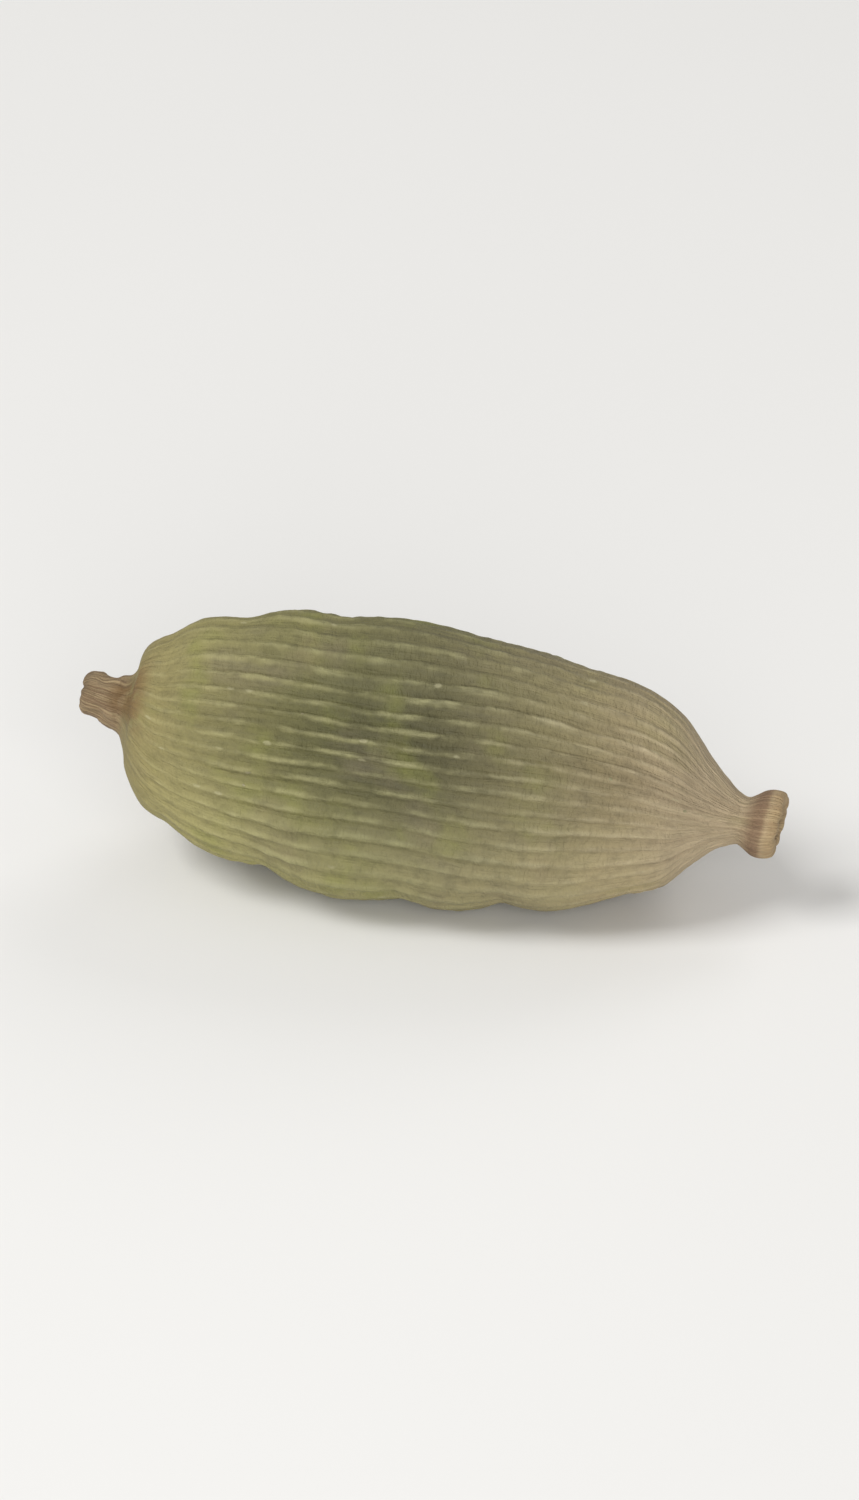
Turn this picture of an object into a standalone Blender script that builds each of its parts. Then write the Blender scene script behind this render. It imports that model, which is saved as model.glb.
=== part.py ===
"""A dried green cardamom pod, lying on its flattened underside.

The pod is one grown piece: a three-cornered husk with lengthwise ribs, a stub of its
stalk at the -X end and the flared beak of the old flower tube at the +X end. It is a
loft of closed rings. Each ring has two points for a rib, one on its crest and one in
the valley beside it, so the edges of the mesh run along the ribs.
"""
import math

import bmesh
import bpy
import numpy as np

MM = 0.001

# Driving dimensions. Distances along the pod start at the cut end of the stalk.
STALK_LENGTH = 1.55 * MM
STALK_RADIUS = 0.74 * MM
HUSK_LENGTH = 20.00 * MM
BELLY_RADIUS = 4.30 * MM
NECK_RADIUS = 0.76 * MM
BEAK_LENGTH = 1.20 * MM
BEAK_RADIUS = 1.10 * MM
TUBE_RADIUS = 0.50 * MM
TUBE_DEPTH = 0.90 * MM

# The outline of each stretch, in shares of its length and of its largest radius.
STALK_OUTLINE = ((0.0, 0.54), (0.09, 0.86), (0.30, 0.96), (0.65, 1.06), (0.94, 1.30))
HUSK_OUTLINE = (
    (0.004, 0.300),
    (0.013, 0.455),
    (0.038, 0.595),
    (0.079, 0.710),
    (0.190, 0.868),
    (0.397, 1.000),
    (0.578, 0.965),
    (0.764, 0.825),
    (0.845, 0.720),
    (0.890, 0.614),
    (0.935, 0.389),
    (0.975, 0.225),
)
BEAK_OUTLINE = ((0.18, 0.80), (0.42, 0.96), (0.70, 1.00), (0.94, 0.91), (0.98, 0.66))
TUBE_OUTLINE = ((0.50, 1.00), (0.0, 0.80))

# Cross-section: how far the three corners stand out, and how flat the faces are.
CORNER_ANGLES = (90.0, 210.0, 330.0)
CORNER_SHARE = 0.085
FLAT_SHARE = 0.020

# Seeds press the husk out in a row of lobes near each corner. Each row has an angle, a
# first seed, two heights of its lobes, by the stalk and by the beak, and a start of its drift.
LOBE_ANGLES = (76.0, 224.0, 330.0)
SEED_PITCH = 3.75 * MM
FIRST_SEEDS = (3.30 * MM, 5.05 * MM, 5.80 * MM)
SEED_BULGES = ((0.33 * MM, 0.08 * MM), (0.38 * MM, 0.34 * MM), (0.40 * MM, 0.28 * MM))
SEED_DRIFT_STARTS = (2.0, 3.8, 5.2)
SEED_DRIFT = 0.35 * MM
SEED_DRIFT_WAVE = 9.70 * MM
SEED_ROUNDING = 0.02
SEED_MEAN = 0.62
LOBE_SPREAD = 25.0

# Ribs, whose heights and swells are drawn between the two values of each pair.
RIBS = 48
POINTS_PER_RIB = 2
RIB_HEIGHT = 0.15 * MM
RIB_MEAN = 0.40
RIB_STRENGTHS = (0.75, 1.20)
RIB_SWELL = 0.22
RIB_SWELL_WAVES = (6.3 * MM, 14.0 * MM)
RIB_AT_ENDS = 0.20
RIB_AT_STALK = 0.50
RIB_LOST_ON_LOBES = 0.35
RIB_DRAW = 11

# Sideways waves of the ribs: radians, waves round the pod, length of a wave, start.
RIB_WANDER = ((0.030, 2, 17.0 * MM, 0.6), (0.014, 3, -9.0 * MM, 2.1))

# The reliefs fade in between these shares of the belly's radius.
SECTION_FADE = (0.20, 0.80)
LOBE_FADE = (0.45, 0.85)
RIB_FADE = (0.10, 0.75)
MINOR_RIB_FADE = (0.22, 0.70)
TUBE_FADE = (0.80, 1.00)
LEAN_FADE = (0.25, 0.40)

# Between these shares of the husk's length the ribs rise from faint to full, and the
# lobes go from their height by the stalk to their height by the beak.
STALK_SIDE_FADE = (0.12, 0.38)
SEED_BULGE_CHANGE = (0.25, 0.60)

# How the pod is bent. Angles are in degrees. The stalk's foot sits aside from the middle, and
# the beak droops.
BOW = 0.18 * MM
BOW_ANGLE = 60.0
STALK_BEND = 8.0
STALK_SHIFT = 0.55 * MM
STALK_SHIFT_ANGLE = 115.0
STALK_SHIFT_LENGTH = 1.3 * MM
BEAK_DROOP = 0.51 * MM
BEAK_DROOP_FADE = (18.20 * MM, 22.00 * MM)
TWIST = 7.0

# The lean shifts the side of the husk at its angle towards the beak, and the opposite side
# towards the stalk. Each end is tilted in the same way within its own length.
LEAN = 0.22 * MM
LEAN_ANGLE = 240.0
STALK_TILT = 10.0
STALK_TILT_ANGLE = 119.0
STALK_TILT_LENGTH = 3.0 * MM
BEAK_TILT = 6.0
BEAK_TILT_ANGLE = 60.0
BEAK_TILT_LENGTH = 3.6 * MM

# How the pod lies
PITCH = 2.5
FLAT_SPOT_DEPTH = 0.31 * MM

# The mesh
RINGS = 56
RING_STEP_AT_TIPS = 0.30
PATH_STEPS = 60
SHARP_EDGE = 50.0

HUSK_COLOUR = (0.220, 0.195, 0.085, 1.0)
HUSK_ROUGHNESS = 0.75


def stretch(start, length, radius, outline):
    """(distance, radius) of one stretch of the pod's outline."""
    return [(start + along * length, share * radius) for along, share in outline]


def pod_outline():
    """The turned outline, from the stalk's cut end over the beak's rim to the floor of its tube."""
    neck = STALK_LENGTH + HUSK_LENGTH
    rim = neck + BEAK_LENGTH
    points = stretch(0.0, STALK_LENGTH, STALK_RADIUS, STALK_OUTLINE)
    points += stretch(STALK_LENGTH, HUSK_LENGTH, BELLY_RADIUS, HUSK_OUTLINE)
    points += [(neck, NECK_RADIUS)]
    points += stretch(neck, BEAK_LENGTH, BEAK_RADIUS, BEAK_OUTLINE)
    points += stretch(rim - TUBE_DEPTH, TUBE_DEPTH, TUBE_RADIUS, TUBE_OUTLINE)
    return np.array(points)


def smooth_path(points):
    """A smooth curve through points: cubic pieces, with each slope set by the neighbouring points."""
    chord = np.concatenate([[0.0], np.cumsum(np.linalg.norm(np.diff(points, axis=0), axis=1))])
    slope = np.gradient(points, chord, axis=0)
    t = np.linspace(0.0, 1.0, PATH_STEPS, endpoint=False)[None, :, None]
    span = np.diff(chord)[:, None, None]
    start, end = points[:-1, None], points[1:, None]
    path = (
        (2 * t**3 - 3 * t**2 + 1) * start
        + (t**3 - 2 * t**2 + t) * span * slope[:-1, None]
        + (3 * t**2 - 2 * t**3) * end
        + (t**3 - t**2) * span * slope[1:, None]
    )
    return np.vstack([path.reshape(-1, 2), points[-1:]])


def place_rings(path, count):
    """Picks points along the path, closer together where the pod is slender."""
    step = np.linalg.norm(np.diff(path, axis=0), axis=1)
    thickness = path[:-1, 1] / BELLY_RADIUS
    spacing = RING_STEP_AT_TIPS + (1.0 - RING_STEP_AT_TIPS) * thickness
    travelled = np.concatenate([[0.0], np.cumsum(step / spacing)])
    wanted = np.linspace(0.0, travelled[-1], count)
    return np.column_stack([np.interp(wanted, travelled, path[:, axis]) for axis in (0, 1)])


def fade(value, limits):
    """0 below the first limit and 1 above the second, with a smooth rise between them."""
    low, high = limits
    t = np.clip((value - low) / (high - low), 0.0, 1.0)
    return t * t * (3 - 2 * t)


def rib_angle(rib, along):
    """A rib's direction from the pod's middle: evenly spread, with a slight twist and a slow wander."""
    even = 2 * math.pi * rib / RIBS
    turn = math.radians(TWIST) * (along / HUSK_LENGTH - 0.5)
    wander = sum(
        size * np.sin(turns * even + 2 * math.pi * along / wave + start)
        for size, turns, wave, start in RIB_WANDER
    )
    return even + turn + wander


def lobe_nearness(angle):
    """For each row of lobes, 1 along its middle, falling to 0 on the faces beside it."""
    lobes = np.array(LOBE_ANGLES)[:, None, None]
    off = (np.degrees(angle) - lobes + 180.0) % 360.0 - 180.0
    return np.exp(-((off / LOBE_SPREAD) ** 2))


def rib_relief(rib, along, thickness, nearness):
    """Height of the ribs: a rounded crest at each whole number, every second one dying out at the ends.

    They are full on the faces, and fainter on the lobes and towards the stalk.
    """
    draw = np.random.default_rng(RIB_DRAW)
    strength = draw.uniform(*RIB_STRENGTHS, RIBS)
    wave = draw.uniform(*RIB_SWELL_WAVES, RIBS)
    start = draw.uniform(0.0, 2 * math.pi, RIBS)
    nearest = np.round(rib).astype(int) % RIBS
    crest = 0.5 + 0.5 * np.cos(2 * math.pi * rib)
    swell = 1.0 + RIB_SWELL * np.sin(2 * math.pi * along / wave[nearest] + start[nearest])
    minor = np.where(nearest % 2, fade(thickness, MINOR_RIB_FADE), 1.0)
    room = RIB_AT_ENDS + (1.0 - RIB_AT_ENDS) * fade(thickness, RIB_FADE)
    room = room * (RIB_AT_STALK + (1.0 - RIB_AT_STALK) * fade(along / HUSK_LENGTH, STALK_SIDE_FADE))
    room = room * (1.0 - RIB_LOST_ON_LOBES * nearness.max(axis=0))
    return RIB_HEIGHT * room * (strength[nearest] * swell * minor * crest - RIB_MEAN)


def seed_relief(along, thickness, nearness):
    """Height of the lobes: in each row, rounded humps a seed apart that meet in creases."""
    total = 0.0
    change = fade(along / HUSK_LENGTH, SEED_BULGE_CHANGE)
    for first, start, bulges, near in zip(FIRST_SEEDS, SEED_DRIFT_STARTS, SEED_BULGES, nearness):
        by_stalk, by_beak = bulges
        drift = SEED_DRIFT * np.sin(2 * math.pi * along / SEED_DRIFT_WAVE + start)
        beat = np.cos(math.pi * (along + drift - first) / SEED_PITCH)
        hump = np.sqrt(beat**2 + SEED_ROUNDING) - SEED_MEAN
        total = total + (by_stalk + (by_beak - by_stalk) * change) * hump * near
    return total * fade(thickness, LOBE_FADE)


def centre_line(along):
    """(y, z) of the pod's middle: both ends bow up, the stalk bends up further and the beak droops."""
    half = 0.5 * HUSK_LENGTH
    bow = BOW * ((along - STALK_LENGTH - half) / half) ** 2
    stalk = math.tan(math.radians(STALK_BEND)) * np.maximum(STALK_LENGTH - along, 0.0)
    rise = bow + stalk - BEAK_DROOP * fade(along, BEAK_DROOP_FADE)
    up = math.radians(BOW_ANGLE)
    shift = STALK_SHIFT * (1.0 - fade(along, (STALK_LENGTH, STALK_LENGTH + STALK_SHIFT_LENGTH)))
    aside = math.radians(STALK_SHIFT_ANGLE)
    return (
        rise * math.cos(up) + shift * math.cos(aside),
        rise * math.sin(up) + shift * math.sin(aside),
    )


def lean_share(angle, along, thickness):
    """How far the skin leans along the pod, for each step away from its middle."""
    neck = STALK_LENGTH + HUSK_LENGTH
    by_stalk = 1.0 - fade(along, (STALK_LENGTH, STALK_LENGTH + STALK_TILT_LENGTH))
    by_beak = fade(along, (neck - BEAK_TILT_LENGTH, neck))
    leans = (
        (LEAN / BELLY_RADIUS * fade(thickness, LEAN_FADE), LEAN_ANGLE),
        (math.radians(STALK_TILT) * by_stalk, STALK_TILT_ANGLE),
        (math.radians(BEAK_TILT) * by_beak, BEAK_TILT_ANGLE),
    )
    return sum(share * np.cos(angle - math.radians(towards)) for share, towards in leans)


def pod_surface(rib, rings):
    """Points of the skin, for a row of rib numbers on each ring (distance, radius).

    From the middle a point lies at radius * section + ribs + lobes, where the section
    is 1 plus a wave with three crests round the pod, and a smaller one with six. Each
    ring leans along the pod as well.
    """
    along, radius = rings[:, :1], rings[:, 1:]
    rib = rib[None, :]
    thickness = radius / BELLY_RADIUS
    angle = rib_angle(rib, along)
    from_corner = 3 * (angle - math.radians(CORNER_ANGLES[0]))
    wave = CORNER_SHARE * np.cos(from_corner) + FLAT_SHARE * np.cos(2 * from_corner)
    section = 1.0 + fade(thickness, SECTION_FADE) * wave
    nearness = lobe_nearness(angle)
    relief = rib_relief(rib, along, thickness, nearness) + seed_relief(along, thickness, nearness)
    reach = radius * section + relief * fade(radius / NECK_RADIUS, TUBE_FADE)
    side, rise = centre_line(along)
    x = along + lean_share(angle, along, thickness) * reach
    return np.stack([x, side + reach * np.cos(angle), rise + reach * np.sin(angle)], axis=-1)


def lay_down(points):
    """Tips the beak end down, flattens the underside into a spot to rest on and centres the pod's box."""
    tip = math.radians(PITCH)
    x = points[..., 0] * math.cos(tip) + points[..., 2] * math.sin(tip)
    y = points[..., 1]
    z = points[..., 2] * math.cos(tip) - points[..., 0] * math.sin(tip)
    floor = z.min() + FLAT_SPOT_DEPTH
    middle_x = 0.5 * (x.min() + x.max())
    middle_y = 0.5 * (y.min() + y.max())
    return np.stack([x - middle_x, y - middle_y, np.maximum(z - floor, 0.0)], axis=-1)


def skin(name, points):
    """A closed mesh through rings of points: four-sided faces between rings and a fan over each end."""
    bm = bmesh.new()
    rings = [[bm.verts.new(point) for point in ring] for ring in points]
    around = len(rings[0])
    for ring, after in zip(rings, rings[1:]):
        for i in range(around):
            j = (i + 1) % around
            bm.faces.new((ring[i], ring[j], after[j], after[i]))
    for ring, row in ((rings[0], points[0]), (rings[-1], points[-1])):
        hub = bm.verts.new(row.mean(axis=0))
        for i in range(around):
            bm.faces.new((ring[i], ring[(i + 1) % around], hub))
    bmesh.ops.recalc_face_normals(bm, faces=bm.faces)
    mesh = bpy.data.meshes.new(name)
    bm.to_mesh(mesh)
    bm.free()
    mesh.shade_smooth()
    mesh.set_sharp_from_angle(angle=math.radians(SHARP_EDGE))
    return mesh


def husk_material():
    """Dry, matt husk."""
    material = bpy.data.materials.new("dry_green_husk")
    material.use_nodes = True
    shader = material.node_tree.nodes["Principled BSDF"]
    shader.inputs["Base Color"].default_value = HUSK_COLOUR
    shader.inputs["Roughness"].default_value = HUSK_ROUGHNESS
    shader.inputs["Metallic"].default_value = 0.0
    return material


def build():
    for old in list(bpy.data.objects):
        bpy.data.objects.remove(old)
    rib = np.arange(RIBS * POINTS_PER_RIB) / POINTS_PER_RIB
    rings = place_rings(smooth_path(pod_outline()), RINGS)
    pod = bpy.data.objects.new("pod", skin("pod", lay_down(pod_surface(rib, rings))))
    pod.data.materials.append(husk_material())
    bpy.context.scene.collection.objects.link(pod)
    print("pod size in mm:", [round(side / MM, 2) for side in pod.dimensions])


build()
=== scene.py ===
# %% [markdown]
# # A dried green cardamom pod
# The real thing is a fruit a little over two centimetres long, picked green and dried whole.
# Its husk has three blunt corners, fine ribs, a stub of its stalk at one end and the flared
# beak of the old flower tube at the other. This lesson dresses a plain measured solid of it:
# first the frame that fixes its size and place, then a fine skin, its colours, a few loose
# flakes, and last the light and the camera.

# %% The frame: the measured solid that everything is fitted to
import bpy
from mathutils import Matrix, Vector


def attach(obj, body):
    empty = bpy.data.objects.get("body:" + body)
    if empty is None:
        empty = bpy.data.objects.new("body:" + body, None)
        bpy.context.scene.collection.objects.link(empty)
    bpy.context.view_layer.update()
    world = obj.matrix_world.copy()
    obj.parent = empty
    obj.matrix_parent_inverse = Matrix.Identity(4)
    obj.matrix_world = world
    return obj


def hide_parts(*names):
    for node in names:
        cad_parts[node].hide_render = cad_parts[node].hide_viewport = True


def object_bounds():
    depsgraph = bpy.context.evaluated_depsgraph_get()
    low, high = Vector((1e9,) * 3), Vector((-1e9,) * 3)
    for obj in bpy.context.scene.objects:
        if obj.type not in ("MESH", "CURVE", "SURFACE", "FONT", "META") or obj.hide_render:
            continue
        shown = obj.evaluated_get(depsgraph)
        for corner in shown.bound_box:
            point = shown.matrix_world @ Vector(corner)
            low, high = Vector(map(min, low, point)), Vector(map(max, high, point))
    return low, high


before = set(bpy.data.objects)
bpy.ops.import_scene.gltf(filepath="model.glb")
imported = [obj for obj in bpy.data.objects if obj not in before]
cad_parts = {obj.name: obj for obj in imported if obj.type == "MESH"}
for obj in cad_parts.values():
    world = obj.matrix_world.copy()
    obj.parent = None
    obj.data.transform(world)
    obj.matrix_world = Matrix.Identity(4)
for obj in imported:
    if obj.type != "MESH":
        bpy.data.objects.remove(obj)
cad_box = [list(corner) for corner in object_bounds()]
print("nodes in the frame:", sorted(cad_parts))

# %% [markdown]
# ## Tools and units
# Lengths are in metres, so a millimetre gets a name. numpy works on whole arrays at once,
# which is quick and keeps each shape a plain formula.

# %% Tools and units
import math

import bpy
import numpy as np
from mathutils import Vector

MM = 0.001
TURN = 2 * math.pi
cad_low, cad_high = (np.array(corner) for corner in cad_box)
print("solid in mm:", np.round((cad_high - cad_low) / MM, 2))

# %% [markdown]
# ## The outline that is turned into a pod
# Seen from the side the pod is a stub, a blunt shoulder, a long belly, a waist and a flared
# rim that folds back into a narrow tube. It could be modelled by pulling on a sphere, but an
# outline of a few pairs, distance and radius, is easier to compare with a real pod. A smooth
# curve through the pairs gives any number of rings.

# %% Driving dimensions
STALK_LENGTH = 1.55 * MM
STALK_RADIUS = 0.74 * MM
HUSK_LENGTH = 20.00 * MM
BELLY_RADIUS = 4.30 * MM
NECK_RADIUS = 0.76 * MM
BEAK_LENGTH = 1.20 * MM
BEAK_RADIUS = 1.10 * MM
TUBE_RADIUS = 0.50 * MM
TUBE_DEPTH = 0.90 * MM
NECK = STALK_LENGTH + HUSK_LENGTH
RIM = NECK + BEAK_LENGTH
print("outline length in mm:", round(RIM / MM, 2))

# %% The outline, in shares of each stretch's own length and radius
CUT_FACE_OUTLINE = ((0.09, 0.06), (0.04, 0.30))
STALK_OUTLINE = ((0.0, 0.54), (0.09, 0.86), (0.30, 0.96), (0.65, 1.06), (0.94, 1.30))
HUSK_OUTLINE = (
    (0.004, 0.300), (0.013, 0.455), (0.038, 0.595), (0.079, 0.710), (0.190, 0.868), (0.397, 1.000),
    (0.578, 0.965), (0.764, 0.825), (0.845, 0.720), (0.890, 0.614), (0.935, 0.389), (0.975, 0.225),
)
BEAK_OUTLINE = ((0.18, 0.80), (0.42, 0.96), (0.70, 1.00), (0.94, 0.91), (0.98, 0.66))
TUBE_OUTLINE = ((0.50, 1.00), (0.0, 0.80))


def stretch(start, length, radius, outline):
    """(distance, radius) of one stretch: start + share * length, and share * radius."""
    return [(start + along * length, share * radius) for along, share in outline]


def pod_outline():
    """The outline from the stalk's cut end over the beak's rim to the floor of its tube."""
    points = stretch(0.0, STALK_LENGTH, STALK_RADIUS, CUT_FACE_OUTLINE + STALK_OUTLINE)
    points += stretch(STALK_LENGTH, HUSK_LENGTH, BELLY_RADIUS, HUSK_OUTLINE)
    points += [(NECK, NECK_RADIUS)]
    points += stretch(NECK, BEAK_LENGTH, BEAK_RADIUS, BEAK_OUTLINE)
    points += stretch(RIM - TUBE_DEPTH, TUBE_DEPTH, TUBE_RADIUS, TUBE_OUTLINE)
    return np.array(points)


print("outline points:", len(pod_outline()))

# %% A smooth curve through the outline, cut into rings
PATH_STEPS = 60
RING_STEP_AT_TIPS = 0.42


def smooth_path(points):
    """Cubic pieces through the points: each slope is the difference of the two neighbours
    over the chord between them, and each piece blends its two ends and their slopes."""
    chord = np.concatenate([[0.0], np.cumsum(np.linalg.norm(np.diff(points, axis=0), axis=1))])
    slope = np.gradient(points, chord, axis=0)
    t = np.linspace(0.0, 1.0, PATH_STEPS, endpoint=False)[None, :, None]
    span = np.diff(chord)[:, None, None]
    start, end = points[:-1, None], points[1:, None]
    path = (
        (2 * t**3 - 3 * t**2 + 1) * start
        + (t**3 - 2 * t**2 + t) * span * slope[:-1, None]
        + (3 * t**2 - 2 * t**3) * end
        + (t**3 - t**2) * span * slope[1:, None]
    )
    return np.vstack([path.reshape(-1, 2), points[-1:]])


def place_rings(path, count):
    """Picks count points on the path. The step between two is the share at the tips plus
    the rest times radius over belly radius, so that slender ends get closer rings."""
    step = np.linalg.norm(np.diff(path, axis=0), axis=1)
    spacing = RING_STEP_AT_TIPS + (1.0 - RING_STEP_AT_TIPS) * path[:-1, 1] / BELLY_RADIUS
    travelled = np.concatenate([[0.0], np.cumsum(step / spacing)])
    wanted = np.linspace(0.0, travelled[-1], count)
    return np.column_stack([np.interp(wanted, travelled, path[:, axis]) for axis in (0, 1)])


print("points on the smooth curve:", len(smooth_path(pod_outline())))

# %% [markdown]
# ## Uneven growth
# Nothing on a dried pod repeats exactly. A texture could add that, but a sum of waves stays
# closed round the pod and can follow the ribs. Each wave has a whole number of turns round the
# pod and a length of its own along it. Soft steps let one form end where the next begins.

# %% A soft step and a seamless uneven field
def fade(value, limits):
    """0 below the first limit, 1 above the second, and 3t^2 - 2t^3 between them."""
    low, high = limits
    t = np.clip((value - low) / (high - low), 0.0, 1.0)
    return t * t * (3 - 2 * t)


def ripple(turn, along, waves):
    """About -1 to 1: the sum of count cosines of (whole turns * angle + distance / length +
    a random start), divided by the square root of half their number and softly held in by
    tanh. waves holds the ranges of turns and lengths, the count and the draw's number."""
    turns, lengths, count, draw_number = waves
    draw = np.random.default_rng(draw_number)
    whole = draw.integers(turns[0], turns[1] + 1, count) * draw.choice((-1, 1), count)
    pace = TURN / draw.uniform(*lengths, count)
    start = draw.uniform(0.0, TURN, count)
    total = sum(np.cos(w * turn + p * along + s) for w, p, s in zip(whole, pace, start))
    return np.tanh(total / math.sqrt(0.5 * count))


print("half way through a fade:", fade(0.5, (0.0, 1.0)))

# %% [markdown]
# ## Ribs
# The ribs are the fibres of the husk wall. They run from the stalk to the beak, so the mesh
# does too: a point is named by its rib number and its ring, with a crest at each whole number.
# The solid has these ribs as one crest and one valley each. Here they are rounded and a little
# lower, they sink towards the beak, and a few of them stand out.

# %% Where a rib lies
RIBS = 48
TWIST = 7.0
RIB_WANDER = ((0.030, 2, 17.0 * MM, 0.6), (0.014, 3, -9.0 * MM, 2.1))
WIGGLE = 0.0035
WIGGLE_WAVES = ((5, 19), (2.2 * MM, 5.0 * MM), 14, 21)


def rib_angle(rib, along):
    """Direction from the pod's middle: evenly spread ribs, a slight twist along the pod, two
    slow waves, and a fine wiggle that neighbours nearly share."""
    even = TURN * rib / RIBS
    turn = math.radians(TWIST) * (along / HUSK_LENGTH - 0.5)
    wander = sum(
        size * np.sin(turns * even + TURN * along / wave + start)
        for size, turns, wave, start in RIB_WANDER
    )
    return even + turn + wander + WIGGLE * ripple(even, along, WIGGLE_WAVES)


print("degrees between ribs:", 360.0 / RIBS)

# %% How much room a rib has
RIB_AT_ENDS = 0.34
RIB_AT_STALK = 0.36
RIB_AT_BEAK = 0.55
RIB_LOST_ON_LOBES = 0.35
RIB_FADE = (0.10, 0.75)
MINOR_RIB_FADE = (0.22, 0.70)
STALK_SIDE_FADE = (0.12, 0.38)
BEAK_SIDE_FADE = (0.50, 0.80)


def rib_room(rib, along, girth, nearness):
    """A rib's share of its full height, as a product: less where the pod is thin, on its
    stalk and beak sides and on the lobes. The second result takes every second rib away near
    the tips."""
    nearest = np.round(rib).astype(int) % RIBS
    share = along / HUSK_LENGTH
    room = RIB_AT_ENDS + (1.0 - RIB_AT_ENDS) * fade(girth, RIB_FADE)
    room = room * (RIB_AT_STALK + (1.0 - RIB_AT_STALK) * fade(share, STALK_SIDE_FADE))
    room = room * (1.0 - (1.0 - RIB_AT_BEAK) * fade(share, BEAK_SIDE_FADE))
    room = room * (1.0 - RIB_LOST_ON_LOBES * nearness.max(axis=0))
    minor = np.where(nearest % 2, fade(girth, MINOR_RIB_FADE), 1.0)
    return room, minor


print("ribs that reach the tips:", RIBS // 2)

# %% How high a rib's crest is
CREST_SHARPNESS = 2.1
RIB_DRAW = 11
RIB_STRENGTHS = (0.75, 1.20)
RIB_SWELL = 0.22
RIB_SWELL_WAVES = (6.3 * MM, 14.0 * MM)
CREST_BREAKS = 0.24
CREST_BREAK_WAVES = ((9, 46), (0.6 * MM, 2.2 * MM), 36, 22)
STRONG_RIB_GAIN = 0.8
STRONG_RIB_FADE = 0.16
STRONG_RIBS = (
    (2, 0.40, 1.20),
    (7, 0.20, 0.60),
    (12, 0.10, 0.42),
    (16, 0.48, 1.20),
    (25, 0.14, 0.62),
    (34, 0.50, 1.20),
    (38, 0.10, 0.50),
    (42, 0.55, 1.20),
)


def strong_ribs(nearest, share):
    """The gain where the nearest rib is a strong one, faded in and out between its two shares
    of the husk's length."""
    total = 0.0
    for number, low, high in STRONG_RIBS:
        begun = fade(share, (low, low + STRONG_RIB_FADE))
        ended = fade(share, (high - STRONG_RIB_FADE, high))
        total = total + STRONG_RIB_GAIN * (nearest == number) * begun * (1.0 - ended)
    return total


def rib_crest(rib, along):
    """Crest height as a share: ((1 + cos(turn * rib)) / 2) to a power that makes it narrow,
    times the rib's own strength, a slow swell and short breaks."""
    draw = np.random.default_rng(RIB_DRAW)
    strength = draw.uniform(*RIB_STRENGTHS, RIBS)
    wave = draw.uniform(*RIB_SWELL_WAVES, RIBS)
    start = draw.uniform(0.0, TURN, RIBS)
    nearest = np.round(rib).astype(int) % RIBS
    swell = 1.0 + RIB_SWELL * np.sin(TURN * along / wave[nearest] + start[nearest])
    breaks = 1.0 + CREST_BREAKS * ripple(TURN * rib / RIBS, along, CREST_BREAK_WAVES)
    crest = (0.5 + 0.5 * np.cos(TURN * rib)) ** CREST_SHARPNESS
    return (strength[nearest] + strong_ribs(nearest, along / HUSK_LENGTH)) * swell * breaks * crest


print("strong ribs:", [number for number, low, high in STRONG_RIBS])

# %% [markdown]
# ## Corners and lobes
# The husk grew round three chambers, so its section is a blunt triangle, and the seeds inside
# press a row of lobes out along each corner. Both are waves on the radius. The first row starts
# lower than in the solid, which keeps the shoulder's outline calm.

# %% The three-cornered section
CORNER_ANGLE = 90.0
CORNER_SHARE = 0.085
FLAT_SHARE = 0.020
SECTION_FADE = (0.20, 0.80)


def section(angle, girth):
    """1 plus a wave with three crests round the pod and a smaller one with six, both faded
    in from the slender ends."""
    from_corner = 3 * (angle - math.radians(CORNER_ANGLE))
    wave = CORNER_SHARE * np.cos(from_corner) + FLAT_SHARE * np.cos(2 * from_corner)
    return 1.0 + fade(girth, SECTION_FADE) * wave


print("corners stand out by mm:", round(CORNER_SHARE * BELLY_RADIUS / MM, 2))

# %% Rows of lobes
LOBE_ANGLES = (76.0, 224.0, 330.0)
LOBE_SPREAD = 25.0
LOBE_FADE = (0.45, 0.85)
SEED_PITCH = 3.75 * MM
FIRST_SEEDS = (3.30 * MM, 5.05 * MM, 5.80 * MM)
SEED_BULGES = ((0.23 * MM, 0.08 * MM), (0.38 * MM, 0.34 * MM), (0.40 * MM, 0.28 * MM))
SEED_BULGE_CHANGE = (0.25, 0.60)
SEED_DRIFT = 0.35 * MM
SEED_DRIFT_WAVE = 9.70 * MM
SEED_DRIFT_STARTS = (2.0, 3.8, 5.2)
SEED_ROUNDING = 0.02
SEED_MEAN = 0.62


def lobe_nearness(angle):
    """For each row of lobes exp(-(degrees off it / spread)^2): 1 along it, 0 on the faces."""
    lobes = np.array(LOBE_ANGLES)[:, None, None]
    off = (np.degrees(angle) - lobes + 180.0) % 360.0 - 180.0
    return np.exp(-((off / LOBE_SPREAD) ** 2))


def seed_relief(along, girth, nearness):
    """Lobes along each corner: sqrt(cos^2 + a little) beats once a seed, so that round humps
    meet in creases."""
    total = 0.0
    change = fade(along / HUSK_LENGTH, SEED_BULGE_CHANGE)
    for first, start, bulge, near in zip(FIRST_SEEDS, SEED_DRIFT_STARTS, SEED_BULGES, nearness):
        drift = SEED_DRIFT * np.sin(TURN * along / SEED_DRIFT_WAVE + start)
        beat = np.cos(math.pi * (along + drift - first) / SEED_PITCH)
        height = bulge[0] + (bulge[1] - bulge[0]) * change
        total = total + height * (np.sqrt(beat**2 + SEED_ROUNDING) - SEED_MEAN) * near
    return total * fade(girth, LOBE_FADE)


print("lobes that fit along the husk:", int(HUSK_LENGTH / SEED_PITCH))

# %% [markdown]
# ## Bends and leans
# A pod is never quite straight. Its middle is bowed, the stalk sits off the middle of the
# shoulder, and the beak droops. The shoulder and the neck are slanted too, so each ring leans:
# its points shift along the pod, more on one side than on the other.

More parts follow.
